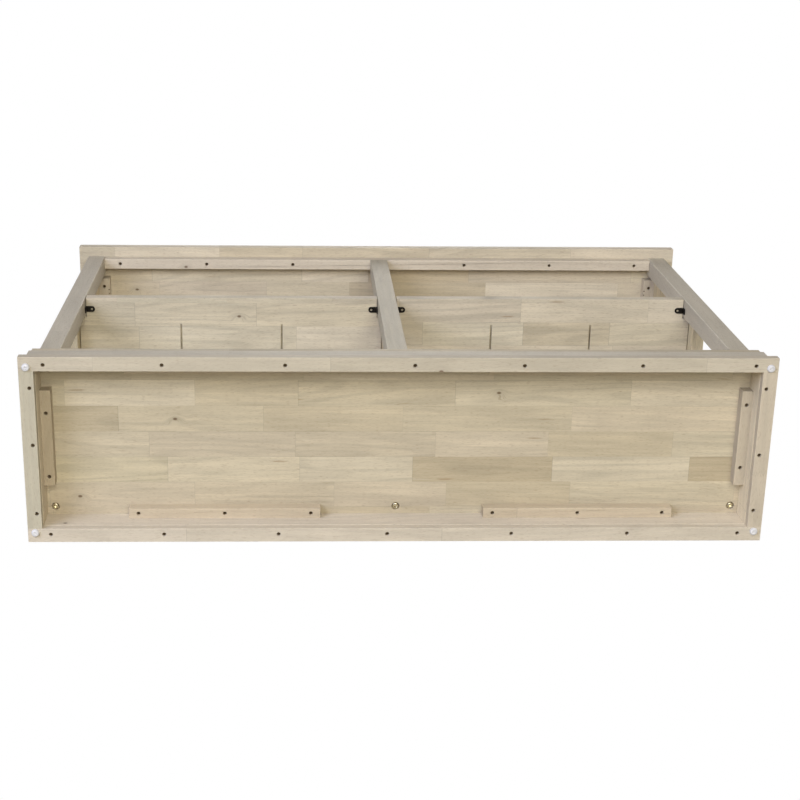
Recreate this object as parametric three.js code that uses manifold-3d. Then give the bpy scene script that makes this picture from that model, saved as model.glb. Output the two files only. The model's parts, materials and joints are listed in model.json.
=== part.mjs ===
// Low two-bay shelf unit in pale finger-jointed hardwood. Six square posts stand on a framed base and
// carry a solid top. The sides and the back are open between rails, and each bay has one loose shelf
// that rests on four clips. Millimetres, +Z up, front towards -Y, origin at the middle of the footprint.
import * as THREE from "three";
import { mergeVertices } from "three/addons/utils/BufferGeometryUtils.js";
import Module from "manifold-3d";

const wasm = await Module();
wasm.setup();

// Overall size, over the top panel and the base rim
const WIDTH = 1219;
const DEPTH = 320.5;
const HEIGHT = 762;

// Clearances: between pieces fitted into each other, and of a cutter past the face it enters
const FIT_GAP = 0.3;
const OVERCUT = 1;

// Glides, one under each corner of the rim
const GLIDE_H = 4.5;
const GLIDE_R = 6.5;
const GLIDE_FLAT_R = 3;
const GLIDE_LIP = 0.6;
const GLIDE_INSET_X = 12.5;
const GLIDE_INSET_Y = 17;

// Base: a flat rim, plinth boards set back on it, and the bottom panel on the plinth
const RIM_W = 24;
const RIM_T = 14;
const PLINTH_INSET = 8;
const PLINTH_T = 16.5;
const PLINTH_H = 47;
const PANEL_T = 19;
const PANEL_INSET = 10.5;

// Cleats that tie the plinth to the bottom panel
const BASE_CLEAT_W = 17.5;
const BASE_CLEAT_H = 20;
const SIDE_CLEAT_START = 70;
const SIDE_CLEAT_L = 167;
const SIDE_CLEAT_SCREW_SHIFT = { left: 11.5, right: -3.5 };
const LONG_CLEAT_L = 320;
const LONG_CLEAT_CENTRES = { left: -287.5, right: 306.5 };
const LONG_CLEAT_SCREW_PITCH = 144;

// Posts and the boards between them
const POST = 34;
const POST_INSET = 18.5;
const SIDE_BOARD_T = 21;
const DIVIDER_T = 16;
const BOARD_H = 72;
const MID_BOARD_BELOW_SHELF = 32;

// Top rails and cleats, screwed up into the top panel
const TOP_RAIL_T = 20.5;
const TOP_RAIL_H = 23;
const TOP_RAIL_SETBACK = 1;
const TOP_CLEAT_W = 22;
const TOP_CLEAT_START = 60;
const TOP_SCREW_PITCH = 175;

// Shelves, with two stress-relief grooves sawn in each underside
const SHELF_T = 19;
const SHELF_UNDERSIDE = 418;
const SHELF_SIDE_GAP = 1.3;
const SHELF_NOTCH_GAP = 2.5;
const GROOVE_W = 3.5;
const GROOVE_DEPTH = 8;
const GROOVE_END = 68;
const SAW_R = 60;

// Shelf clips: an angle with a drilled tongue under the shelf and a peg in the post
const CLIP_W = 11;
const CLIP_TONGUE = 17;
const CLIP_LEG = 12;
const CLIP_T = 1.6;
const CLIP_HOLE_R = 2;
const CLIP_BACK = 4;
const PEG_R = 2.5;
const PEG_L = 9;
const PEG_DROP = 6;

// Bolts up through the bottom panel into the posts
const BOLT_HEAD_R = 5.2;
const BOLT_HEAD_H = 3.5;
const BOLT_SEAT_R = 6.6;
const BOLT_SEAT_DEPTH = 4.5;
const BOLT_R = 3;
const BOLT_L = 60;
const BOLT_SOCKET_R = 2.4;
const BOLT_SOCKET_DEPTH = 2.4;
const BOLT_X = 572;
const BOLT_INSET = 37.5;

// Screw pockets
const POCKET_R = 3.2;
const POCKET_DEPTH = 4.6;
const ROUND_SIDES = 12;
const RIM_SCREW_X = {
  front: [-570, -382, -186, 22, 198, 389, 573],
  rear: [-572, -386, -197, -17, 190, 384, 570],
};
const RIM_SCREW_Y = { left: [52.5, 150, 270], right: [52.5, 167.5, 266] };
const RIM_SCREW_INSET = 13.5;
const RIM_SIDE_SCREW_INSET = 16.5;

// Heights of the faces that pieces meet on
const zRim = GLIDE_H;
const zPlinth = zRim + RIM_T;
const zPanel = zPlinth + PLINTH_H;
const zPosts = zPanel + PANEL_T;
const zShelf = GLIDE_H + SHELF_UNDERSIDE;
const zBoltSeat = zPanel + BOLT_SEAT_DEPTH;
const zTop = HEIGHT - PANEL_T;
const zTopRail = zTop - TOP_RAIL_H;
const zMidBoard = zShelf - MID_BOARD_BELOW_SHELF;

const SIDES = { left: -1, right: 1 };
const ROWS = { front: -1, rear: 1 };
const X_HALF = WIDTH / 2;
const Y_HALF = DEPTH / 2;
const postOuterX = X_HALF - POST_INSET;
const postInnerX = postOuterX - POST;
const postOuterY = Y_HALF - POST_INSET;
const postInnerY = postOuterY - POST;

const unit = new THREE.Group();

function material(color, roughness, metalness) {
  return () => new THREE.MeshStandardMaterial({ color, roughness, metalness });
}

const boardWood = material(0xcdbd9c, 0.62, 0);
const stripWood = material(0xc9bca2, 0.62, 0);
const clipSteel = material(0x1f1e1d, 0.42, 0.5);
const boltBrass = material(0xa98f57, 0.36, 0.9);
const glidePlastic = material(0xecebe6, 0.35, 0);

function addPart(name, finish, geometry, place = [0, 0, 0]) {
  geometry.computeVertexNormals();
  const mesh = new THREE.Mesh(geometry, finish());
  mesh.name = name;
  mesh.position.set(...place);
  unit.add(mesh);
  return mesh;
}

function toSolid(geometry) {
  const bare = geometry.clone();
  bare.deleteAttribute("normal");
  bare.deleteAttribute("uv");
  const merged = mergeVertices(bare, 1e-4);
  return new wasm.Manifold(
    new wasm.Mesh({
      numProp: 3,
      vertProperties: new Float32Array(merged.attributes.position.array),
      triVerts: new Uint32Array(merged.index.array),
    }),
  );
}

function toGeometry(solid) {
  const mesh = solid.getMesh();
  const geometry = new THREE.BufferGeometry();
  geometry.setAttribute("position", new THREE.BufferAttribute(mesh.vertProperties, 3));
  geometry.setIndex(new THREE.BufferAttribute(mesh.triVerts, 1));
  return geometry;
}

function cut(geometry, cutters) {
  return toGeometry(cutters.reduce((rest, cutter) => rest.subtract(toSolid(cutter)), toSolid(geometry)));
}

function join(geometries) {
  return toGeometry(geometries.map(toSolid).reduce((whole, next) => whole.add(next)));
}

// A straight board between two limits on each axis, less any cutters, which are placed in the unit's frame.
function addBoard(name, finish, x, y, z, cutters = []) {
  const centre = [x, y, z].map(([low, high]) => (low + high) / 2);
  const block = new THREE.BoxGeometry(x[1] - x[0], y[1] - y[0], z[1] - z[0]);
  const local = cutters.map((cutter) => cutter.clone().translate(...centre.map((value) => -value)));
  return addPart(name, finish, cutters.length ? cut(block, local) : block, centre);
}

// Low and high limits of a span from one distance to another on the given side of the middle.
function onSide(side, near, far) {
  return side < 0 ? [-far, -near] : [near, far];
}

function uprightCylinder(r, x, y, low, high, sides = ROUND_SIDES) {
  const cylinder = new THREE.CylinderGeometry(r, r, high - low, sides);
  return cylinder.rotateX(Math.PI / 2).translate(x, y, (low + high) / 2);
}

// A pocket for a screw head, sunk upwards into a downward face at height z.
function screwPocket(x, y, z) {
  return uprightCylinder(POCKET_R, x, y, z - OVERCUT, z + POCKET_DEPTH);
}

function forEachOf(choices, make) {
  Object.entries(choices).forEach(([word, side]) => make(word, side));
}

function addGlides() {
  const profile = new THREE.Path();
  const shoulder = GLIDE_H - GLIDE_LIP;
  profile.moveTo(0, 0);
  profile.lineTo(GLIDE_FLAT_R, 0);
  profile.quadraticCurveTo(GLIDE_R, 0, GLIDE_R, shoulder);
  profile.lineTo(GLIDE_R, GLIDE_H);
  profile.lineTo(0, GLIDE_H);
  const turned = new THREE.LatheGeometry(profile.getPoints(5), 2 * ROUND_SIDES).rotateX(Math.PI / 2);
  forEachOf(SIDES, (sideWord, side) => {
    forEachOf(ROWS, (rowWord, row) => {
      const place = [side * (X_HALF - GLIDE_INSET_X), row * (Y_HALF - GLIDE_INSET_Y), 0];
      addPart(`glide_${rowWord}_${sideWord}`, glidePlastic, turned.clone(), place);
    });
  });
}

function addRim() {
  forEachOf(ROWS, (rowWord, row) => {
    const y = row * (Y_HALF - RIM_SCREW_INSET);
    const pockets = RIM_SCREW_X[rowWord].map((x) => screwPocket(x, y, zRim));
    const span = onSide(row, Y_HALF - RIM_W, Y_HALF);
    addBoard(`rim_${rowWord}`, stripWood, [-X_HALF, X_HALF], span, [zRim, zPlinth], pockets);
  });
  forEachOf(SIDES, (sideWord, side) => {
    const x = side * (X_HALF - RIM_SIDE_SCREW_INSET);
    const pockets = RIM_SCREW_Y[sideWord].map((y) => screwPocket(x, y - Y_HALF, zRim));
    const span = onSide(side, X_HALF - RIM_W, X_HALF);
    const length = [-(Y_HALF - RIM_W), Y_HALF - RIM_W];
    addBoard(`rim_${sideWord}`, stripWood, span, length, [zRim, zPlinth], pockets);
  });
}

function addPlinth() {
  const outerX = X_HALF - PLINTH_INSET;
  const outerY = Y_HALF - PLINTH_INSET;
  const innerY = outerY - PLINTH_T;
  forEachOf(ROWS, (rowWord, row) => {
    const span = onSide(row, innerY, outerY);
    addBoard(`plinth_${rowWord}`, stripWood, [-outerX, outerX], span, [zPlinth, zPanel]);
  });
  forEachOf(SIDES, (sideWord, side) => {
    const span = onSide(side, outerX - PLINTH_T, outerX);
    addBoard(`plinth_${sideWord}`, stripWood, span, [-innerY, innerY], [zPlinth, zPanel]);
  });
}

function addBaseCleats() {
  const z = [zPanel - BASE_CLEAT_H, zPanel];
  const outerX = X_HALF - PLINTH_INSET - PLINTH_T;
  const outerY = Y_HALF - PLINTH_INSET - PLINTH_T;
  const start = SIDE_CLEAT_START - Y_HALF;
  const end = start + SIDE_CLEAT_L;
  const screwInset = SIDE_CLEAT_L / 6;
  forEachOf(SIDES, (sideWord, side) => {
    const x = side * (outerX - BASE_CLEAT_W / 2);
    const shift = SIDE_CLEAT_SCREW_SHIFT[sideWord];
    const screwY = [start + screwInset + shift, end - screwInset + shift];
    const pockets = screwY.map((y) => screwPocket(x, y, z[0]));
    const span = onSide(side, outerX - BASE_CLEAT_W, outerX);
    addBoard(`base_cleat_${sideWord}`, stripWood, span, [start, end], z, pockets);
  });
  forEachOf(ROWS, (rowWord, row) => {
    forEachOf(LONG_CLEAT_CENTRES, (sideWord, middle) => {
      const y = row * (outerY - BASE_CLEAT_W / 2);
      const screwX = [-1, 0, 1].map((step) => middle + step * LONG_CLEAT_SCREW_PITCH);
      const pockets = screwX.map((x) => screwPocket(x, y, z[0]));
      const length = [middle - LONG_CLEAT_L / 2, middle + LONG_CLEAT_L / 2];
      const span = onSide(row, outerY - BASE_CLEAT_W, outerY);
      addBoard(`base_cleat_${rowWord}_${sideWord}`, stripWood, length, span, z, pockets);
    });
  });
}

// Where the bolts and the posts stand: the middle of each post and the bolt axis under it.
const POST_PLACES = { left: -(postInnerX + POST / 2), centre: 0, right: postInnerX + POST / 2 };
const BOLT_PLACES = { left: -BOLT_X, centre: 0, right: BOLT_X };

function addBottomPanel() {
  const holes = [];
  forEachOf(ROWS, (rowWord, row) => {
    forEachOf(BOLT_PLACES, (sideWord, x) => {
      const y = row * (Y_HALF - BOLT_INSET);
      holes.push(uprightCylinder(BOLT_R + FIT_GAP, x, y, zPanel - OVERCUT, zPosts + OVERCUT));
      holes.push(uprightCylinder(BOLT_SEAT_R, x, y, zPanel - OVERCUT, zBoltSeat, 2 * ROUND_SIDES));
    });
  });
  const x = X_HALF - PANEL_INSET;
  const y = Y_HALF - PANEL_INSET;
  addBoard("bottom_panel", boardWood, [-x, x], [-y, y], [zPanel, zPosts], holes);
}

function addBolts() {
  const head = uprightCylinder(BOLT_HEAD_R, 0, 0, -BOLT_HEAD_H, 0, 2 * ROUND_SIDES);
  const shank = uprightCylinder(BOLT_R, 0, 0, -BOLT_HEAD_H / 2, BOLT_L);
  const socketTop = BOLT_SOCKET_DEPTH - BOLT_HEAD_H;
  const socket = uprightCylinder(BOLT_SOCKET_R, 0, 0, -BOLT_HEAD_H - OVERCUT, socketTop, 6);
  const bolt = cut(join([head, shank]), [socket]);
  forEachOf(ROWS, (rowWord, row) => {
    forEachOf(BOLT_PLACES, (sideWord, x) => {
      const place = [x, row * (Y_HALF - BOLT_INSET), zBoltSeat - FIT_GAP];
      addPart(`bolt_${rowWord}_${sideWord}`, boltBrass, bolt.clone(), place);
    });
  });
}

// The bore for one clip's peg, entering the post face at x towards the post's middle.
function pegBore(x, inwards, y) {
  const length = PEG_L + 2 * OVERCUT;
  const bore = new THREE.CylinderGeometry(PEG_R + FIT_GAP, PEG_R + FIT_GAP, length, ROUND_SIDES);
  const middle = x + inwards * (length / 2 - OVERCUT);
  return bore.rotateZ(Math.PI / 2).translate(middle, y, zShelf - FIT_GAP - PEG_DROP);
}

function addPosts() {
  forEachOf(ROWS, (rowWord, row) => {
    forEachOf(POST_PLACES, (sideWord, x) => {
      const centred = sideWord === "centre";
      const boltY = row * (Y_HALF - BOLT_INSET);
      const clipY = row * (postOuterY - POST / 2 - CLIP_BACK);
      const boltHole = uprightCylinder(
        BOLT_R + FIT_GAP, BOLT_PLACES[sideWord], boltY, zPosts - OVERCUT, zBoltSeat + BOLT_L + OVERCUT);
      const boredFaces = centred ? [-1, 1] : [-Math.sign(x)];
      const bores = boredFaces.map((face) => pegBore(x + (face * POST) / 2, -face, clipY));
      const z = [zPosts, centred ? zTopRail : zTop];
      const width = [x - POST / 2, x + POST / 2];
      const depth = onSide(row, postInnerY, postOuterY);
      addBoard(`post_${rowWord}_${sideWord}`, stripWood, width, depth, z, [boltHole, ...bores]);
    });
  });
}

// Boards on edge from the front posts to the rear posts: one under the top and one beside the shelf.
function addEdgeBoards() {
  const levels = { top: zTop - BOARD_H, mid: zMidBoard };
  forEachOf(levels, (levelWord, low) => {
    const y = [-postInnerY, postInnerY];
    const z = [low, low + BOARD_H];
    addBoard(`divider_board_${levelWord}`, boardWood, [-DIVIDER_T / 2, DIVIDER_T / 2], y, z);
    forEachOf(SIDES, (sideWord, side) => {
      const span = onSide(side, postOuterX - SIDE_BOARD_T, postOuterX);
      addBoard(`side_board_${levelWord}_${sideWord}`, boardWood, span, y, z);
    });
  });
}

function addTopRails() {
  const z = [zTopRail, zTop];
  const outer = postOuterY - TOP_RAIL_SETBACK;
  forEachOf(ROWS, (rowWord, row) => {
    const y = row * (outer - TOP_RAIL_T / 2);
    const pockets = [-3, -2, -1, 1, 2, 3].map((step) => screwPocket(step * TOP_SCREW_PITCH, y, zTopRail));
    const span = onSide(row, outer - TOP_RAIL_T, outer);
    addBoard(`top_rail_${rowWord}`, stripWood, [-postInnerX, postInnerX], span, z, pockets);
  });
  const boardInnerX = postOuterX - SIDE_BOARD_T;
  const reach = Y_HALF - TOP_CLEAT_START;
  forEachOf(SIDES, (sideWord, side) => {
    const x = side * (boardInnerX - TOP_CLEAT_W / 2);
    const pockets = [-1, 1].map((end) => screwPocket(x, end * (reach - POST / 2), zTopRail));
    const span = onSide(side, boardInnerX - TOP_CLEAT_W, boardInnerX);
    addBoard(`top_cleat_${sideWord}`, stripWood, span, [-reach, reach], z, pockets);
  });
}

// A plate with a notch round each post.
function shelfOutline(side) {
  const inner = DIVIDER_T / 2 + SHELF_SIDE_GAP;
  const outer = postOuterX - SIDE_BOARD_T - SHELF_SIDE_GAP;
  const innerTongue = POST / 2 + SHELF_SIDE_GAP;
  const outerTongue = postInnerX - SHELF_SIDE_GAP;
  const edge = postOuterY;
  const notch = postInnerY - SHELF_NOTCH_GAP;
  const quarter = [[outerTongue, edge], [outerTongue, notch], [outer, notch]];
  const innerQuarter = [[inner, notch], [innerTongue, notch], [innerTongue, edge]];
  const half = [...innerQuarter, ...quarter];
  const otherHalf = half.map(([x, y]) => [x, -y]).reverse();
  return new THREE.Shape([...half, ...otherHalf].map(([x, y]) => new THREE.Vector2(side * x, y)));
}

// A saw cut along Y, with the round run-in and run-out that the blade leaves.
function grooveCutter(x) {
  const end = Y_HALF - GROOVE_END;
  const rise = SAW_R - GROOVE_DEPTH;
  const run = Math.sqrt(SAW_R ** 2 - rise ** 2);
  const lead = Math.atan2(rise, run);
  const section = new THREE.Shape();
  section.moveTo(-end, -OVERCUT);
  section.lineTo(end, -OVERCUT);
  section.lineTo(end, 0);
  section.absarc(end - run, -rise, SAW_R, lead, Math.PI / 2, false);
  section.absarc(run - end, -rise, SAW_R, Math.PI / 2, Math.PI - lead, false);
  const sheet = { depth: GROOVE_W, bevelEnabled: false, curveSegments: 6 };
  const cutter = new THREE.ExtrudeGeometry(section, sheet);
  const alongX = new THREE.Vector3(1, 0, 0);
  const alongY = new THREE.Vector3(0, 1, 0);
  const alongZ = new THREE.Vector3(0, 0, 1);
  cutter.applyMatrix4(new THREE.Matrix4().makeBasis(alongY, alongZ, alongX));
  return cutter.translate(x - GROOVE_W / 2, 0, 0);
}

function addShelves() {
  const inner = DIVIDER_T / 2 + SHELF_SIDE_GAP;
  const outer = postOuterX - SIDE_BOARD_T - SHELF_SIDE_GAP;
  forEachOf(SIDES, (sideWord, side) => {
    const plate = new THREE.ExtrudeGeometry(shelfOutline(side), { depth: SHELF_T, bevelEnabled: false });
    const grooves = [1 / 3, 2 / 3].map((part) => grooveCutter(side * (inner + (outer - inner) * part)));
    addPart(`shelf_${sideWord}`, boardWood, cut(plate, grooves), [0, 0, zShelf]);
  });
}

// The clip's origin is where its leg's back face meets the top of its tongue, with the tongue along +X.
function clipGeometry() {
  const outline = new THREE.Shape();
  const bend = CLIP_TONGUE - CLIP_W / 2;
  outline.moveTo(0, -CLIP_W / 2);
  outline.lineTo(bend, -CLIP_W / 2);
  outline.absarc(bend, 0, CLIP_W / 2, -Math.PI / 2, Math.PI / 2, false);
  outline.lineTo(0, CLIP_W / 2);
  const sheet = { depth: CLIP_T, bevelEnabled: false, curveSegments: 8 };
  const tongue = new THREE.ExtrudeGeometry(outline, sheet);
  tongue.translate(0, 0, -CLIP_T);
  const leg = new THREE.BoxGeometry(CLIP_T, CLIP_W, CLIP_LEG).translate(CLIP_T / 2, 0, -CLIP_LEG / 2);
  const peg = new THREE.CylinderGeometry(PEG_R, PEG_R, PEG_L + CLIP_T / 2, ROUND_SIDES);
  peg.rotateZ(Math.PI / 2).translate((CLIP_T / 2 - PEG_L) / 2, 0, -PEG_DROP);
  const hole = uprightCylinder(CLIP_HOLE_R, bend, 0, -CLIP_T - OVERCUT, OVERCUT);
  return cut(join([tongue, leg, peg]), [hole]);
}

function addClips() {
  const clip = clipGeometry();
  forEachOf(SIDES, (bayWord, bay) => {
    forEachOf(ROWS, (rowWord, row) => {
      const y = row * (postOuterY - POST / 2 - CLIP_BACK);
      const faces = { outer: bay * (postInnerX - FIT_GAP), inner: bay * (POST / 2 + FIT_GAP) };
      forEachOf(faces, (faceWord, x) => {
        const name = `clip_${bayWord}_${rowWord}_${faceWord}`;
        const mesh = addPart(name, clipSteel, clip.clone(), [x, y, zShelf - FIT_GAP]);
        const pointsLeft = (faceWord === "outer") === bay > 0;
        mesh.rotation.z = pointsLeft ? Math.PI : 0;
      });
    });
  });
}

function addTopPanel() {
  addBoard("top_panel", boardWood, [-X_HALF, X_HALF], [-Y_HALF, Y_HALF], [zTop, HEIGHT]);
}

addGlides();
addRim();
addPlinth();
addBaseCleats();
addBottomPanel();
addBolts();
addPosts();
addEdgeBoards();
addTopRails();
addShelves();
addClips();
addTopPanel();

export default unit;
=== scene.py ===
"""Looks for the low two-bay shelf unit: bare finger-jointed hardwood, black clips and screws, yellow-zinc
bolts and white glides, on a pale floor. The camera stands below the unit and looks up at its underside."""
import json
import math

import bmesh
import bpy
from mathutils import Matrix, Vector


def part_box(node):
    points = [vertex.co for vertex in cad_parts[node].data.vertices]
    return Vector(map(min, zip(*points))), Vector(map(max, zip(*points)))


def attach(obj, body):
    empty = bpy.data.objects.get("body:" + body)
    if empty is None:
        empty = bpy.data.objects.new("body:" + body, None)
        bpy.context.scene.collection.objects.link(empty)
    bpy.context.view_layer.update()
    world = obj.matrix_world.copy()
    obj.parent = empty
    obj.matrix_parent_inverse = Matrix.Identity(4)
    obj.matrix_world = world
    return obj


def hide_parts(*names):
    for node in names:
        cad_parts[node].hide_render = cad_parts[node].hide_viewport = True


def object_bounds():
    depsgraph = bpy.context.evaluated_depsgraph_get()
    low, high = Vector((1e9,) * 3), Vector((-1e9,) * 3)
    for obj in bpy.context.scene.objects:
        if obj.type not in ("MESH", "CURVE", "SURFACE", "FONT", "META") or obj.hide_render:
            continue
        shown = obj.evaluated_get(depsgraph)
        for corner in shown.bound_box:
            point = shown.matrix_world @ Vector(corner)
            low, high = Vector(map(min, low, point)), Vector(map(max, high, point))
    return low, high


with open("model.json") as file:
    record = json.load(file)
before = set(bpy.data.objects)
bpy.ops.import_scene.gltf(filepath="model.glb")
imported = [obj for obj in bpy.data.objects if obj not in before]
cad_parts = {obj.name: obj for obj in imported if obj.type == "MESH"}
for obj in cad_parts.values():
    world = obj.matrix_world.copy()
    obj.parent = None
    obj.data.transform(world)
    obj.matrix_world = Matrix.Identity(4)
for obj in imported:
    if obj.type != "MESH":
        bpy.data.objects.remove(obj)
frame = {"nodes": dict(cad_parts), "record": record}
cad_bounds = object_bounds()
scene = bpy.context.scene
MM = 0.001

# Camera
CAMERA_PLACE = (-0.1693, -0.9019, -2.3217)
CAMERA_ANGLES = (160.556, 1.901, -0.724)
CAMERA_LENS = 68.99
CAMERA_SHIFT = (0.0625, 0.0055)

# Wood
STAVE_WIDTH = 45 * MM
STAVE_LENGTH = 235 * MM
STRIP_LENGTH = 560 * MM
FINGER_PITCH = 4.5 * MM
FINGER_DEPTH = 7.5 * MM

# How far arrises are eased: on most boards, on the clips, and on the kinds of board that differ
BOARD_EASE = 1.1 * MM
CLIP_EASE = 0.3 * MM
EASES = {"post": 1.4 * MM, "shelf": 0.5 * MM, "base_cleat": 0.5 * MM, "rim": 0.6 * MM, "plinth": 0.4 * MM}

# Where the bottom panel's staves start across and along the grain, and the top panel's own seed
PANEL_ROW_START = 78 * MM
PANEL_RUN_START = -89 * MM
TOP_PANEL_SEED = 63.0

# Half the floor's side, and the distances from the unit where it starts and ends turning white
FLOOR_REACH = 6.0
FLOOR_PLAIN = 1.0
FLOOR_WHITE = 4.2

# Screw pockets cut in the CAD boards, the screw heads in them, and each screw's turn past the last
POCKET_DEPTH = 4.6 * MM
POCKET_RADIUS = 3.2 * MM
SCREW_HEAD_H = 1.6 * MM
SCREW_TURN = 0.37

# The turned bolt's head, and the brads just behind each top cleat's front screw
BOLT_HEAD_R = 5.2 * MM
BOLT_HEAD_H = 3.5 * MM
BRAD_R = 1.2 * MM
BRAD_LENGTH = 0.4 * MM
BRAD_PROUD = 0.1 * MM
BRAD_INSET = 1.6 * MM
BRAD_PLACES = (-77 * MM, -69 * MM)


def srgb(red, green, blue):
    """A linear colour from 0 to 255 display values."""
    parts = [value / 255 for value in (red, green, blue)]
    return [p / 12.92 if p <= 0.04045 else ((p + 0.055) / 1.055) ** 2.4 for p in parts] + [1.0]


class Tree:
    """A material and short ways to add its nodes. A socket is given a number, a list or another socket."""

    def __init__(self, name):
        self.material = bpy.data.materials.new(name)
        self.material.use_nodes = True
        self.nodes = self.material.node_tree.nodes
        self.links = self.material.node_tree.links
        self.nodes.clear()

    def add(self, kind, inputs=None, **settings):
        node = self.nodes.new("ShaderNode" + kind)
        for key, value in settings.items():
            setattr(node, key, value)
        for key, value in (inputs or {}).items():
            self.put(node.inputs[key], value)
        return node

    def put(self, socket, value):
        if isinstance(value, bpy.types.NodeSocket):
            self.links.new(value, socket)
        else:
            socket.default_value = value

    def math(self, operation, *values, clamp=False):
        node = self.add("Math", operation=operation, use_clamp=clamp)
        for index, value in enumerate(values):
            self.put(node.inputs[index], value)
        return node.outputs[0]

    def vector(self, operation, *values):
        node = self.add("VectorMath", operation=operation)
        for index, value in enumerate(values):
            self.put(node.inputs[index], value)
        return node.outputs[0]

    def split(self, vector):
        return list(self.add("SeparateXYZ", {"Vector": vector}).outputs)

    def combine(self, x, y, z):
        return self.add("CombineXYZ", {"X": x, "Y": y, "Z": z}).outputs[0]

    def attribute(self, name, output):
        return self.add("Attribute", attribute_type="OBJECT", attribute_name=name).outputs[output]

    def noise(self, vector, scale=1.0, detail=2.0, roughness=0.5, distortion=0.0):
        inputs = {"Vector": vector, "Scale": scale, "Detail": detail,
                  "Roughness": roughness, "Distortion": distortion}
        return self.add("TexNoise", inputs).outputs[0]

    def fade(self, value, start, end, low=0.0, high=1.0):
        """low where value is start, high where it is end, and smooth in between."""
        inputs = {"Value": value, "From Min": start, "From Max": end, "To Min": low, "To Max": high}
        return self.add("MapRange", inputs, interpolation_type="SMOOTHSTEP").outputs[0]

    def mix(self, factor, first, second, blend="MIX"):
        node = self.add("Mix", data_type="RGBA", blend_type=blend)
        self.put(node.inputs[0], factor)
        self.put(node.inputs[6], first)
        self.put(node.inputs[7], second)
        return node.outputs[2]

    def blend(self, factor, first, second):
        node = self.add("Mix", data_type="FLOAT")
        self.put(node.inputs[0], factor)
        self.put(node.inputs[2], first)
        self.put(node.inputs[3], second)
        return node.outputs[0]

    def ramp(self, value, colours):
        node = self.add("ValToRGB", {"Fac": value})
        stops = node.color_ramp.elements
        while len(stops) < len(colours):
            stops.new(1.0)
        for index, colour in enumerate(colours):
            stops[index].position = index / (len(colours) - 1)
            stops[index].color = colour
        return node.outputs[0]

    def finish(self, colour, roughness, height=None, bump=0.0, depth=0.0002, **fixed):
        shader = self.add("BsdfPrincipled", {"Base Color": colour, "Roughness": roughness})
        for key, value in fixed.items():
            shader.inputs[key.replace("_", " ")].default_value = value
        if height is not None:
            inputs = {"Strength": bump, "Distance": depth, "Height": height}
            self.put(shader.inputs["Normal"], self.add("Bump", inputs).outputs[0])
        self.add("OutputMaterial", {"Surface": shader.outputs[0]})
        return self.material


# ---------------------------------------------------------------------------------------------- wood

BOARD_TONES = [srgb(199, 182, 153), srgb(207, 192, 165), srgb(212, 198, 172), srgb(209, 193, 168),
               srgb(216, 202, 178), srgb(207, 193, 164)]
STRIP_TONES = [srgb(209, 198, 180), srgb(211, 200, 182), srgb(212, 201, 184), srgb(210, 199, 181)]
PORE_BROWN = srgb(150, 122, 90)
KNOT_BROWN = srgb(96, 70, 47)
STREAK_PALE = srgb(218, 208, 188)

# Pin knots, in mm: x and y in the frame, and the height above the board's underside
KNOT_LETTERS = "abc"
NO_KNOT = (0, 0, 9000)
KNOTS = {
    "bottom_panel": [(-530, 104, 0), (-368, -34, 0), (167, -80, 0)],
    "shelf_left": [(-274, -107, 0)],
    "top_rail_front": [(-392, -125, 0)],
    "plinth_rear": [(-551, 136, 8)],
    "top_panel": [(-495, -71, 0)],
    "rim_front": [(64, -137, 0)],
}

# Which of x, y and z run along the grain, across the board's face and through its thickness
GRAIN_AXES = {"X": (0, 1, 2), "Y": (1, 2, 0), "Z": (2, 0, 1)}


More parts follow.
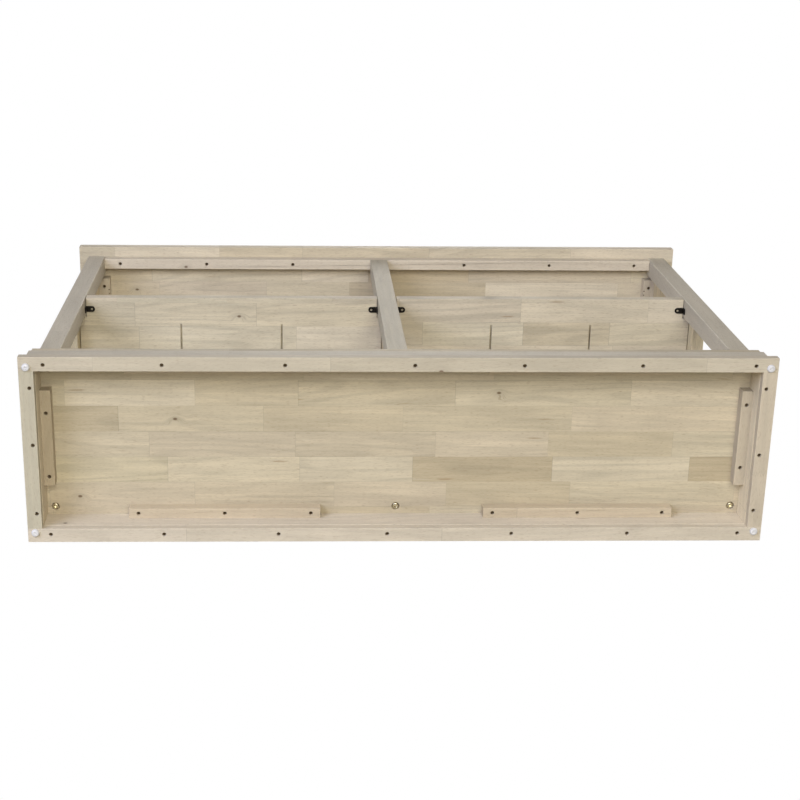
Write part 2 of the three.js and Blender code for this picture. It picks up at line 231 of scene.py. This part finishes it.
def wood_material(name, grain, tones, contrast, stave_length, stave_width=None):
    """Bare sanded hardwood made of finger-jointed staves. With no width, the piece is one stave wide.
    The object says its own box and seed in its properties, so one material serves every piece."""
    t = Tree(name)
    place = t.add("TexCoord").outputs["Object"]
    axes = GRAIN_AXES[grain]
    parts = t.split(place)
    along, across, through = (parts[axis] for axis in axes)
    seed = t.attribute("wood_seed", "Fac")

    # One random number for each row of staves, and one colour for each stave in the row
    shifted = t.math("SUBTRACT", across, t.attribute("wood_row_start", "Fac"))
    row = t.math("FLOOR", t.math("DIVIDE", shifted, stave_width)) if stave_width else 0.0
    row_key = t.math("MULTIPLY_ADD", seed, 13.7, t.math("MULTIPLY", row, 7.31))
    row_random = t.add("TexWhiteNoise", {"W": row_key}, noise_dimensions="1D").outputs["Value"]
    fingers = t.math("PINGPONG", through, FINGER_PITCH / 2)
    fingers = t.math("MULTIPLY", fingers, 2 * FINGER_DEPTH / FINGER_PITCH)
    run = t.math("SUBTRACT", along, t.attribute("wood_run_start", "Fac"))
    run = t.math("DIVIDE", t.math("ADD", run, fingers), stave_length)
    run = t.math("MULTIPLY_ADD", row_random, 60.0, run)
    stave = t.add("TexVoronoi", {"W": run, "Scale": 1.0, "Randomness": 0.95}, voronoi_dimensions="1D")
    joint = t.add("TexVoronoi", {"W": run, "Scale": 1.0, "Randomness": 0.95},
                  voronoi_dimensions="1D", feature="DISTANCE_TO_EDGE")
    tone_pick, shade_pick, figure_pick = t.split(stave.outputs["Color"])

    # Thin lines where staves are glued end to end and side by side, open in places and shut in others
    joint_gap = t.math("MULTIPLY", joint.outputs["Distance"], stave_length)
    open_end = t.math("MULTIPLY_ADD", figure_pick, 0.75, 0.1)
    seam = t.math("MULTIPLY", t.fade(joint_gap, 0.0001, 0.0007, 1.0, 0.0), open_end)
    if stave_width:
        beside = t.math("PINGPONG", shifted, stave_width)
        row_gap = t.math("MINIMUM", beside, t.math("SUBTRACT", stave_width, beside))
        shut = t.noise(t.combine(t.math("MULTIPLY", along, 9.0), t.math("MULTIPLY", row, 3.3), seed))
        row_line = t.fade(row_gap, 0.0001, 0.0006, 1.0, 0.0)
        row_line = t.math("MULTIPLY", row_line, t.fade(shut, 0.46, 0.68, 0.0, 1.0))
        seam = t.math("MAXIMUM", seam, row_line)

    # Knots given one by one, each drawn out along the grain, with the figure swelling round it
    knot_core = 0.0
    knot_halo = 0.0
    for letter in KNOT_LETTERS:
        away = t.split(t.vector("SUBTRACT", place, t.attribute(f"wood_knot_{letter}", "Vector")))
        drawn_out = t.combine(t.math("MULTIPLY", away[axes[0]], 0.65), away[axes[1]], away[axes[2]])
        distance = t.add("VectorMath", {0: drawn_out}, operation="LENGTH").outputs["Value"]
        knot_core = t.math("MAXIMUM", knot_core, t.fade(distance, 0.0012, 0.0032, 1.0, 0.0))
        knot_halo = t.math("MAXIMUM", knot_halo, t.fade(distance, 0.002, 0.014, 1.0, 0.0))

    # Figure: each stave looks at its own part of the same long-drawn noise, slightly skewed and wavy
    offset = t.vector("MULTIPLY", stave.outputs["Color"], [31.0, 17.0, 23.0])
    own = t.vector("ADD", t.combine(along, across, through), offset)
    wave = t.noise(t.vector("MULTIPLY", own, [6.0, 9.0, 9.0]), detail=1.0)
    skew = t.math("MULTIPLY", t.math("SUBTRACT", figure_pick, 0.5), 0.05)
    bend = t.math("MULTIPLY_ADD", wave, 0.008, t.math("MULTIPLY", skew, along))
    bend = t.math("MULTIPLY_ADD", knot_halo, 0.009, bend)
    own = t.vector("ADD", own, t.combine(0.0, bend, 0.0))
    broad = t.noise(t.vector("MULTIPLY", own, [1.6, 15.0, 15.0]), detail=1.0)
    rings = t.math("SINE", t.math("MULTIPLY", broad, 75.0))
    rings = t.fade(rings, 0.0, 1.0)
    clouds = t.noise(t.vector("MULTIPLY", own, [5.0, 42.0, 42.0]), detail=3.0, roughness=0.6)
    bands = t.noise(t.vector("MULTIPLY", own, [7.0, 150.0, 150.0]), detail=2.0, roughness=0.6)
    streaks = t.noise(t.vector("MULTIPLY", own, [13.0, 420.0, 420.0]), detail=2.0, roughness=0.65)
    lines = t.noise(t.vector("MULTIPLY", own, [3.5, 210.0, 210.0]), detail=2.0, roughness=0.45)
    dark_line = t.fade(lines, 0.66, 0.74)
    pale_line = t.fade(lines, 0.36, 0.28)
    pores = t.noise(t.vector("MULTIPLY", own, [110.0, 1500.0, 1500.0]), detail=1.0)
    pores = t.fade(pores, 0.58, 0.70)

    # End grain: pores seen as dots, growth rings as arcs, and a darker tone
    normal = t.split(t.add("TexCoord").outputs["Normal"])[axes[0]]
    end_face = t.fade(t.math("ABSOLUTE", normal), 0.6, 0.8)
    arc_centre = t.vector("ADD", t.combine(0.0, across, through), [0.0, 0.013, 0.031])
    arc_radius = t.add("VectorMath", {0: arc_centre}, operation="LENGTH").outputs["Value"]
    arcs = t.math("SINE", t.math("MULTIPLY", arc_radius, 2600.0))
    dots = t.noise(t.combine(0.0, t.math("MULTIPLY", across, 1500.0), t.math("MULTIPLY", through, 1500.0)))
    end_shade = t.math("MULTIPLY_ADD", arcs, 0.02, t.fade(dots, 0.35, 0.65, 0.74, 0.86))

    # Shade: everything that darkens or lightens the stave's tone
    shade = t.math("MULTIPLY_ADD", shade_pick, 0.10, 0.94)
    shade = t.math("MULTIPLY", shade, t.fade(clouds, 0.25, 0.75, 0.905, 1.06))
    shade = t.math("MULTIPLY", shade, t.fade(bands, 0.25, 0.75, 0.95, 1.045))
    shade = t.math("MULTIPLY", shade, t.math("MULTIPLY_ADD", dark_line, -0.09, 1.0))
    shade = t.math("MULTIPLY", shade, t.math("MULTIPLY_ADD", pale_line, 0.07, 1.0))
    shade = t.math("MULTIPLY", shade, t.fade(streaks, 0.3, 0.7, 0.968, 1.018))
    ring_depth = t.math("MULTIPLY_ADD", figure_pick, -0.085, -0.015)
    shade = t.math("MULTIPLY", shade, t.math("MULTIPLY_ADD", rings, ring_depth, 1.0))
    shade = t.math("MULTIPLY", shade, t.math("MULTIPLY_ADD", pores, -0.09, 1.0))
    shade = t.math("MULTIPLY_ADD", shade, contrast, 1.0 - contrast)
    shade = t.math("MULTIPLY", shade, t.math("MULTIPLY_ADD", seam, -0.36, 1.0))
    shade = t.math("MULTIPLY", shade, t.blend(end_face, 1.0, end_shade))
    shade = t.math("MULTIPLY", shade, t.math("MULTIPLY_ADD", knot_halo, -0.10, 1.0))

    # Handling: soft smudges over the whole piece, and arrises rubbed paler with a few dark knocks
    smudge = t.noise(t.vector("ADD", place, [4.0, 1.0, 7.0]), scale=7.0, detail=3.0)
    shade = t.math("MULTIPLY", shade, t.fade(smudge, 0.3, 0.75, 1.02, 0.96))
    low = t.vector("SUBTRACT", place, t.attribute("wood_low", "Vector"))
    high = t.vector("SUBTRACT", t.attribute("wood_high", "Vector"), place)
    to_face = t.split(t.vector("MINIMUM", low, high))
    nearer = t.math("MINIMUM", to_face[0], to_face[1])
    further = t.math("MAXIMUM", to_face[0], to_face[1])
    to_edge = t.math("MAXIMUM", nearer, t.math("MINIMUM", further, to_face[2]))
    knocks = t.noise(place, scale=55.0, detail=3.0, roughness=0.7)
    rubbed = t.math("MULTIPLY", t.fade(to_edge, 0.0006, 0.003, 1.0, 0.0), t.fade(knocks, 0.35, 0.6))
    dented = t.math("MULTIPLY", t.fade(to_edge, 0.0006, 0.002, 1.0, 0.0), t.fade(knocks, 0.36, 0.30))
    shade = t.math("MULTIPLY", shade, t.math("MULTIPLY_ADD", rubbed, 0.07, 1.0))
    shade = t.math("MULTIPLY", shade, t.math("MULTIPLY_ADD", dented, -0.16, 1.0))

    # Pin knots and short dark flecks drawn out along the grain
    spots = t.add("TexVoronoi", {"Vector": t.vector("MULTIPLY", own, [5.0, 10.0, 10.0]), "Scale": 1.0})
    picked = t.math("GREATER_THAN", t.split(spots.outputs["Color"])[1], 0.93)
    knot = t.math("MULTIPLY", t.fade(spots.outputs["Distance"], 0.014, 0.05, 1.0, 0.0), picked)
    knot = t.math("MAXIMUM", knot, knot_core)
    flecks = t.add("TexVoronoi", {"Vector": t.vector("MULTIPLY", own, [11.0, 95.0, 95.0]), "Scale": 1.0})
    chosen = t.math("GREATER_THAN", t.split(flecks.outputs["Color"])[0], 0.955)
    fleck = t.math("MULTIPLY", t.fade(flecks.outputs["Distance"], 0.06, 0.22, 1.0, 0.0), chosen)

    tone = t.ramp(tone_pick, tones)
    tone = t.mix(t.fade(bands, 0.66, 0.80, 0.0, 0.4), tone, STREAK_PALE)
    grey = t.combine(shade, shade, shade)
    # Each piece's tint: its stock's tone, and painted light and shade over the whole piece
    grey = t.vector("MULTIPLY", grey, t.attribute("wood_tint_and_painted_light", "Vector"))
    colour = t.mix(1.0, tone, grey, blend="MULTIPLY")
    colour = t.mix(t.math("MULTIPLY", pores, 0.25), colour, PORE_BROWN)
    colour = t.mix(t.math("MULTIPLY", fleck, 0.5), colour, PORE_BROWN)
    colour = t.mix(t.math("MULTIPLY", knot, 0.8), colour, KNOT_BROWN)
    roughness = t.fade(streaks, 0.3, 0.7, 0.56, 0.68)
    height = t.math("MULTIPLY_ADD", pores, -0.6, t.math("MULTIPLY_ADD", seam, -0.5, streaks))
    return t.finish(colour, roughness, height, bump=0.28, depth=0.00025, IOR=1.42)


def dress(node, material):
    obj = frame["nodes"][node]
    obj.data.materials.clear()
    obj.data.materials.append(material)
    return obj


def ease_edges(obj, width, slide=True, segments=3):
    """Rounds every sharp edge, after welding the corners of the triangles together. With no slide, the
    rounding keeps an even width round the bottom panel's bolt seats instead of following inner edges."""
    weld = obj.modifiers.new("weld", "WELD")
    weld.merge_threshold = 0.00002
    bevel = obj.modifiers.new("ease", "BEVEL")
    bevel.width = width
    bevel.segments = segments
    bevel.limit_method = "ANGLE"
    bevel.angle_limit = math.radians(40)
    bevel.use_clamp_overlap = False
    bevel.loop_slide = slide


WOODS = {
    "board_X": wood_material("board_wood_x", "X", BOARD_TONES, 1.12, STAVE_LENGTH, STAVE_WIDTH),
    "board_Y": wood_material("board_wood_y", "Y", BOARD_TONES, 1.12, STAVE_LENGTH, STAVE_WIDTH),
    "strip_X": wood_material("strip_wood_x", "X", STRIP_TONES, 0.62, STRIP_LENGTH),
    "strip_Y": wood_material("strip_wood_y", "Y", STRIP_TONES, 0.62, STRIP_LENGTH),
    "strip_Z": wood_material("strip_wood_z", "Z", STRIP_TONES, 0.62, STRIP_LENGTH),
}
SLOTS = {part["node"]: part["material_slot"] for part in frame["record"]["subparts"]}

# Multipliers of the wood's colour: some pieces are cut from paler or greyer stock than the rest.
# Painted cool light: the plinth front and the posts are made bluer, as a cool light from the front would.
# Painted light: the right and rear plinths and the side boards are made brighter, as if more light fell on
# them.
# Painted shade: the side base cleats are darkened, the left one most, as if in the plinths' shadow.
PIECE_TINTS_AND_PAINTED_LIGHT = {
    "bottom_panel": [0.94, 0.98, 1.02],
    "top_panel": [1.05, 1.10, 1.18],
    "top_rail": [1.11, 1.12, 1.14],
    "shelf": [1.05, 1.12, 1.22],
    "rim_rear": [1.08, 1.10, 1.14],
    "rim_left": [0.87, 0.915, 0.905],
    "rim_front": [0.91, 0.93, 0.93],
    "plinth_rear": [1.12, 1.14, 1.18],
    "plinth_left": [1.08, 1.08, 1.03],
    "plinth_right": [1.28, 1.29, 1.24],
    "plinth_front": [0.92, 0.96, 1.00],
    "base_cleat_left": [0.77, 0.74, 0.68],
    "base_cleat_right": [0.80, 0.80, 0.80],
    "base_cleat": [0.96, 0.93, 0.87],
    "post_front_centre": [0.85, 0.89, 0.88],
    "post": [0.935, 0.975, 1.0],
    "side_board": [1.20, 1.24, 1.20],
}


def dress_wood():
    wooden = [node for node in sorted(SLOTS) if SLOTS[node] in ("board_wood", "strip_wood")]
    for index, node in enumerate(wooden):
        low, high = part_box(node)
        size = high - low
        longest = max(range(3), key=lambda axis: size[axis])
        kind = SLOTS[node].split("_")[0]
        obj = dress(node, WOODS[f"{kind}_{'XYZ'[longest]}"])
        obj["wood_seed"] = TOP_PANEL_SEED if node == "top_panel" else float(index)
        obj["wood_low"] = list(low)
        obj["wood_high"] = list(high)
        first_row = low[(longest + 1) % 3] - 0.4 * STAVE_WIDTH * (index % 3)
        obj["wood_row_start"] = PANEL_ROW_START if node == "bottom_panel" else first_row
        obj["wood_run_start"] = PANEL_RUN_START if node == "bottom_panel" else 0.0
        # The tint is partly the stock's tone and partly painted light and shade on the piece
        tints = [tint for start, tint in PIECE_TINTS_AND_PAINTED_LIGHT.items() if node.startswith(start)]
        obj["wood_tint_and_painted_light"] = tints[0] if tints else [1.0, 1.0, 1.0]
        knots = KNOTS.get(node, []) + [NO_KNOT] * len(KNOT_LETTERS)
        for letter, (x, y, up) in zip(KNOT_LETTERS, knots):
            obj[f"wood_knot_{letter}"] = [x * MM, y * MM, low.z + up * MM]
        eases = [ease for start, ease in EASES.items() if node.startswith(start)]
        ease_edges(obj, eases[0] if eases else BOARD_EASE, node != "bottom_panel")


# ------------------------------------------------------------------------------------- small finishes


def black_steel():
    """Black oxide with browned, worn arrises."""
    t = Tree("clip_steel")
    place = t.add("TexCoord").outputs["Object"]
    mottle = t.noise(place, scale=420.0, detail=3.0)
    scuffs = t.noise(t.vector("MULTIPLY", place, [900.0, 220.0, 900.0]), detail=2.0)
    colour = t.mix(t.fade(mottle, 0.35, 0.7), srgb(24, 23, 22), srgb(44, 40, 36))
    colour = t.mix(t.fade(scuffs, 0.62, 0.75, 0.0, 0.6), colour, srgb(92, 84, 74))
    roughness = t.fade(mottle, 0.3, 0.7, 0.34, 0.52)
    return t.finish(colour, roughness, scuffs, bump=0.2, depth=0.0001, Metallic=0.6)


def screw_steel():
    t = Tree("screw_steel")
    place = t.add("TexCoord").outputs["Object"]
    mottle = t.noise(place, scale=900.0, detail=2.0)
    colour = t.mix(t.fade(mottle, 0.35, 0.7), srgb(78, 64, 48), srgb(104, 88, 66))
    roughness = t.fade(mottle, 0.3, 0.7, 0.45, 0.65)
    return t.finish(colour, roughness, mottle, bump=0.15, depth=0.0001, Metallic=0.4)


def yellow_zinc():
    """Yellow passivated zinc: brassy, with greenish and pinkish patches and turning marks."""
    t = Tree("bolt_brass")
    place = t.add("TexCoord").outputs["Object"]
    patches = t.noise(place, scale=160.0, detail=2.0)
    tones = [srgb(226, 215, 187), srgb(236, 226, 202), srgb(213, 208, 183), srgb(236, 220, 198)]
    colour = t.ramp(patches, tones)
    fine = t.noise(place, scale=1500.0, detail=2.0)
    roughness = t.fade(fine, 0.3, 0.7, 0.15, 0.28)
    return t.finish(colour, roughness, fine, bump=0.12, depth=0.0001, Metallic=1.0)


def white_plastic():
    """Moulded white plastic with a fine texture and faint scuffs."""
    t = Tree("glide_plastic")
    place = t.add("TexCoord").outputs["Object"]
    grain = t.noise(place, scale=1800.0, detail=2.0)
    marks = t.noise(t.vector("MULTIPLY", place, [300.0, 900.0, 300.0]), detail=3.0)
    colour = t.mix(t.fade(marks, 0.55, 0.75), srgb(228, 229, 235), srgb(212, 213, 219))
    return t.finish(colour, t.fade(grain, 0.3, 0.7, 0.30, 0.42), grain, bump=0.08, depth=0.0001)


CLIP_STEEL = black_steel()
SCREW_STEEL = screw_steel()
YELLOW_ZINC = yellow_zinc()
WHITE_PLASTIC = white_plastic()


def dress_clips():
    for node in sorted(SLOTS):
        if SLOTS[node] == "clip_steel":
            ease_edges(dress(node, CLIP_STEEL), CLIP_EASE, segments=2)


# ------------------------------------------------------------------------------------------ hardware


def turned(profile, steps=48):
    """A bmesh of revolution about z from (radius, height) points that start and end on the axis."""
    bm = bmesh.new()
    rings = []
    for radius, height in profile:
        if radius == 0:
            rings.append([bm.verts.new((0, 0, height))])
            continue
        angles = [2 * math.pi * step / steps for step in range(steps)]
        rings.append([bm.verts.new((radius * math.cos(a), radius * math.sin(a), height)) for a in angles])
    for lower, upper in zip(rings, rings[1:]):
        for step in range(steps):
            after = (step + 1) % steps
            corners = [lower[step % len(lower)], lower[after % len(lower)],
                       upper[after % len(upper)], upper[step % len(upper)]]
            bm.faces.new(list(dict.fromkeys(corners)))
    bmesh.ops.recalc_face_normals(bm, faces=bm.faces)
    return bm


def mesh_from(bm, name):
    mesh = bpy.data.meshes.new(name)
    bm.to_mesh(mesh)
    bm.free()
    return mesh


def carved(body, cutter, name):
    """The body mesh less the cutter mesh."""
    pair = [bpy.data.objects.new(name, body), bpy.data.objects.new(name + "_cutter", cutter)]
    for obj in pair:
        scene.collection.objects.link(obj)
    boolean = pair[0].modifiers.new("cut", "BOOLEAN")
    boolean.operation = "DIFFERENCE"
    boolean.solver = "EXACT"
    boolean.object = pair[1]
    bpy.context.view_layer.update()
    result = bpy.data.meshes.new_from_object(pair[0].evaluated_get(bpy.context.evaluated_depsgraph_get()))
    for obj in pair:
        bpy.data.objects.remove(obj)
    return result


def add_prism(bm, sides, radius, place, height):
    """A prism about z, added to a bmesh with its middle at the given place."""
    bmesh.ops.create_cone(bm, cap_ends=True, segments=sides, radius1=radius, radius2=radius,
                          depth=height, matrix=Matrix.Translation(place))


def arc(centre, radius, start, end, steps):
    """Points on a circle of (radius, height) points, from one angle in degrees to another."""
    angles = [math.radians(start + (end - start) * step / steps) for step in range(steps + 1)]
    return [(centre[0] + radius * math.cos(a), centre[1] + radius * math.sin(a)) for a in angles]


def screw_mesh():
    """A bugle-head screw, head down, with a cross recess. z is 0 on the head's face."""
    head_r = 2.8 * MM
    neck_r = 1.5 * MM
    rim = 0.25 * MM
    profile = [(0, 0)] + arc((head_r - rim, rim), rim, -90, 0, 3)
    profile += [(neck_r, SCREW_HEAD_H), (0, SCREW_HEAD_H)]
    body = mesh_from(turned(profile, 32), "screw")
    reach = 1.8 * MM
    half = 0.42 * MM
    arm = [(reach, -half), (reach, half), (half, half)]
    outline = [(x * c - y * s, x * s + y * c) for c, s in ((1, 0), (0, 1), (-1, 0), (0, -1)) for x, y in arm]
    cross = bmesh.new()
    floor = [cross.verts.new((x * 0.75, y * 0.75, 1.1 * MM)) for x, y in outline]
    mouth = [cross.verts.new((x * 1.1, y * 1.1, -0.5 * MM)) for x, y in outline]
    cross.faces.new(floor)
    cross.faces.new(mouth)
    for index in range(len(outline)):
        after = (index + 1) % len(outline)
        cross.faces.new((mouth[index], mouth[after], floor[after], floor[index]))
    bmesh.ops.recalc_face_normals(cross, faces=cross.faces)
    return carved(body, mesh_from(cross, "cross"), "screw_body")


def bolt_mesh(shank_length):
    """A connector bolt, head down, with a domed rim, a hexagon socket and a shank. z is 0 under the head."""
    dish = 2.9 * MM
    shank_r = 3.0 * MM
    round_r = 2.0 * MM
    lip = 0.35 * MM
    socket_r = 2.4 * MM
    socket_floor = -1.1 * MM
    socket_mouth = -BOLT_HEAD_H - MM
    profile = [(0, lip - BOLT_HEAD_H), (dish - lip, lip - BOLT_HEAD_H), (dish, -BOLT_HEAD_H)]
    profile += arc((BOLT_HEAD_R - round_r, round_r - BOLT_HEAD_H), round_r, -90, 0, 5)
    profile += [(BOLT_HEAD_R, -lip), (BOLT_HEAD_R - lip, 0), (shank_r, 0)]
    profile += [(shank_r, shank_length - shank_r / 2), (shank_r / 2, shank_length), (0, shank_length)]
    body = mesh_from(turned(profile), "bolt")
    hexagon = bmesh.new()
    middle = (0, 0, (socket_mouth + socket_floor) / 2)
    add_prism(hexagon, 6, socket_r, middle, socket_floor - socket_mouth)
    return carved(body, mesh_from(hexagon, "socket"), "bolt_body")


def glide_mesh():
    """A domed glide with a dimple where its nail head lies. z is 0 at the floor."""
    height = 4.5 * MM
    radius = 6.5 * MM
    flat = 3.0 * MM
    lip = 0.6 * MM
    steps = 10
    dome = []
    for step in range(steps + 1):
        s = step / steps
        r = (1 - s) ** 2 * flat + 2 * s * (1 - s) * radius + s * s * radius
        dome.append((r, s * s * (height - lip)))
    dimple = [(0, 0.5 * MM), (1.2 * MM, 0.5 * MM), (1.6 * MM, 0.12 * MM), (2.0 * MM, 0)]
    profile = dimple + dome + [(radius, height - 0.15 * MM), (radius - 0.15 * MM, height), (0, height)]
    return mesh_from(turned(profile), "glide")


def place_mesh(name, mesh, place, material):
    """A piece on the frame body. Pieces may share a mesh, which gets its material only once."""
    obj = bpy.data.objects.new(name, mesh)
    scene.collection.objects.link(obj)
    obj.location = place
    if not mesh.materials:
        mesh.materials.append(material)
    mesh.shade_smooth()
    mesh.set_sharp_from_angle(angle=math.radians(35))
    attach(obj, "frame")
    return obj


def place_bolts():
    low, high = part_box("bolt_front_left")
    mesh = bolt_mesh(high.z - low.z - BOLT_HEAD_H)
    for node in sorted(SLOTS):
        if SLOTS[node] == "bolt_brass":
            low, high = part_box(node)
            middle = (low + high) / 2
            place = (middle.x, middle.y, low.z + BOLT_HEAD_H)
            piece = place_mesh(f"{node}_turned", mesh, place, YELLOW_ZINC)
            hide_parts(node)


def place_glides():
    mesh = glide_mesh()
    for node in sorted(SLOTS):
        if SLOTS[node] == "glide_plastic":
            low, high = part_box(node)
            middle = (low + high) / 2
            place = (middle.x, middle.y, low.z)
            piece = place_mesh(f"{node}_moulded", mesh, place, WHITE_PLASTIC)
            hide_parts(node)


def pocket_centres(node):
    """The middles of the screw pockets in a node's underside, from the ring of corners round each ceiling."""
    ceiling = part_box(node)[0].z + POCKET_DEPTH
    corners = [v.co for v in frame["nodes"][node].data.vertices if abs(v.co.z - ceiling) < 0.01 * MM]
    groups = []
    for corner in sorted({(round(co.x, 6), round(co.y, 6)) for co in corners}):
        near = [g for g in groups if math.dist(g[0], corner) < 2.1 * POCKET_RADIUS]
        if near:
            near[0].append(corner)
        else:
            groups.append([corner])
    return [(sum(x for x, _ in g) / len(g), sum(y for _, y in g) / len(g)) for g in groups if len(g) > 5]


def place_screws():
    """The screws of one board are one piece, each turned a little further than the last."""
    screw = screw_mesh()
    sunk = POCKET_DEPTH - SCREW_HEAD_H
    for node in sorted(SLOTS):
        centres = pocket_centres(node)
        if not centres:
            continue
        bm = bmesh.new()
        for index, (x, y) in enumerate(centres):
            turn = Matrix.Rotation(index * SCREW_TURN, 4, "Z")
            copy = screw.copy()
            copy.transform(Matrix.Translation((x, y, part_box(node)[0].z + sunk)) @ turn)
            bm.from_mesh(copy)
            bpy.data.meshes.remove(copy)
        place_mesh(f"screws_{node}", mesh_from(bm, f"screws_{node}"), (0, 0, 0), SCREW_STEEL)


def place_brads():
    """Two brad heads on each top cleat, near its inner edge and just behind the front screw."""
    for node in ("top_cleat_left", "top_cleat_right"):
        low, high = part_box(node)
        inner = min(low.x, high.x, key=abs)
        x = inner + math.copysign(BRAD_INSET, inner)
        bm = bmesh.new()
        for y in BRAD_PLACES:
            add_prism(bm, 12, BRAD_R, (x, y, low.z + BRAD_LENGTH / 2 - BRAD_PROUD), BRAD_LENGTH)
        place_mesh(f"brads_{node}", mesh_from(bm, f"brads_{node}"), (0, 0, 0), SCREW_STEEL)


# ------------------------------------------------------------------------------------ camera and stage


def add_camera():
    data = bpy.data.cameras.new("camera")
    camera = bpy.data.objects.new("camera", data)
    scene.collection.objects.link(camera)
    camera.location = CAMERA_PLACE
    camera.rotation_euler = [math.radians(angle) for angle in CAMERA_ANGLES]
    data.lens = CAMERA_LENS
    data.sensor_width = 36.0
    data.shift_x, data.shift_y = CAMERA_SHIFT
    data.clip_end = 100.0
    scene.camera = camera


def add_light(name, towards, distance, size, power, colour):
    """A square soft light, seen from the unit in the given direction and aimed at its middle."""
    middle = (cad_bounds[0] + cad_bounds[1]) / 2
    data = bpy.data.lights.new(name, "AREA")
    data.shape = "SQUARE"
    data.size = size
    data.energy = power
    data.color = colour
    light = bpy.data.objects.new(name, data)
    scene.collection.objects.link(light)
    direction = Vector(towards).normalized()
    light.location = middle + direction * distance
    light.rotation_euler = direction.to_track_quat("Z", "Y").to_euler()
    light.visible_camera = False


def add_world():
    """White where the camera sees it, and a weak, warm light on the unit."""
    world = bpy.data.worlds.new("studio")
    scene.world = world
    world.use_nodes = True
    nodes = world.node_tree.nodes
    links = world.node_tree.links
    nodes.clear()
    seen = nodes.new("ShaderNodeBackground")
    seen.inputs["Color"].default_value = (1, 1, 1, 1)
    lighting = nodes.new("ShaderNodeBackground")
    lighting.inputs["Color"].default_value = (1.0, 0.86, 0.74, 1)
    lighting.inputs["Strength"].default_value = 0.15
    path = nodes.new("ShaderNodeLightPath")
    mix = nodes.new("ShaderNodeMixShader")
    output = nodes.new("ShaderNodeOutputWorld")
    links.new(path.outputs["Is Camera Ray"], mix.inputs[0])
    links.new(lighting.outputs[0], mix.inputs[1])
    links.new(seen.outputs[0], mix.inputs[2])
    links.new(mix.outputs[0], output.inputs["Surface"])


def add_floor():
    """A pale floor that shows only from above, lets the lights under it reach the unit, and turns white
    far from the unit, as a studio sweep does."""
    bm = bmesh.new()
    bmesh.ops.create_grid(bm, x_segments=1, y_segments=1, size=FLOOR_REACH)
    floor = bpy.data.objects.new("floor", mesh_from(bm, "floor"))
    scene.collection.objects.link(floor)
    t = Tree("floor")
    place = t.add("TexCoord").outputs["Object"]
    mottle = t.noise(place, scale=3.0, detail=4.0)
    colour = t.mix(mottle, srgb(232, 231, 228), srgb(238, 237, 235))
    paint = t.add("BsdfPrincipled", {"Base Color": colour, "Roughness": 0.7})
    away = t.add("VectorMath", {0: place}, operation="LENGTH").outputs["Value"]
    white = t.add("Emission", {"Color": (1.0, 1.0, 1.0, 1.0)})
    whitening = t.fade(away, FLOOR_PLAIN, FLOOR_WHITE, 0.25, 1.0)
    sweep = t.add("MixShader", {0: whitening, 1: paint.outputs[0], 2: white.outputs[0]})
    clear = t.add("BsdfTransparent")
    mix = t.add("MixShader", {0: t.add("NewGeometry").outputs["Backfacing"],
                              1: sweep.outputs[0], 2: clear.outputs[0]})
    t.add("OutputMaterial", {"Surface": mix.outputs[0]})
    floor.data.materials.append(t.material)
    floor.visible_shadow = False
    floor.visible_diffuse = False
    floor.visible_glossy = False


dress_wood()
dress_clips()
place_bolts()
place_glides()
place_screws()
place_brads()
add_camera()
add_world()
add_floor()
add_light("key", (-0.62, -0.50, -0.60), 6.0, 3.0, 197.0, (0.74, 0.80, 1.0))
add_light("front", (0.10, -0.52, -0.85), 6.0, 3.0, 191.0, (1.0, 0.955, 0.82))
add_light("low_rear", (0.0, 0.42, -0.91), 6.0, 2.8, 60.0, (1.0, 0.94, 0.72))
add_light("top_fill", (0.05, -0.05, 1.0), 3.6, 2.2, 105.0, (1.0, 0.98, 0.95))
add_light("rear_fill", (-0.2, 1.0, 0.45), 4.5, 3.0, 78.0, (1.0, 0.98, 0.96))
add_light("right_fill", (1.0, 0.1, 0.3), 4.5, 3.0, 65.0, (1.0, 0.98, 0.96))
scene.view_settings.view_transform = "Standard"
scene.view_settings.look = "None"
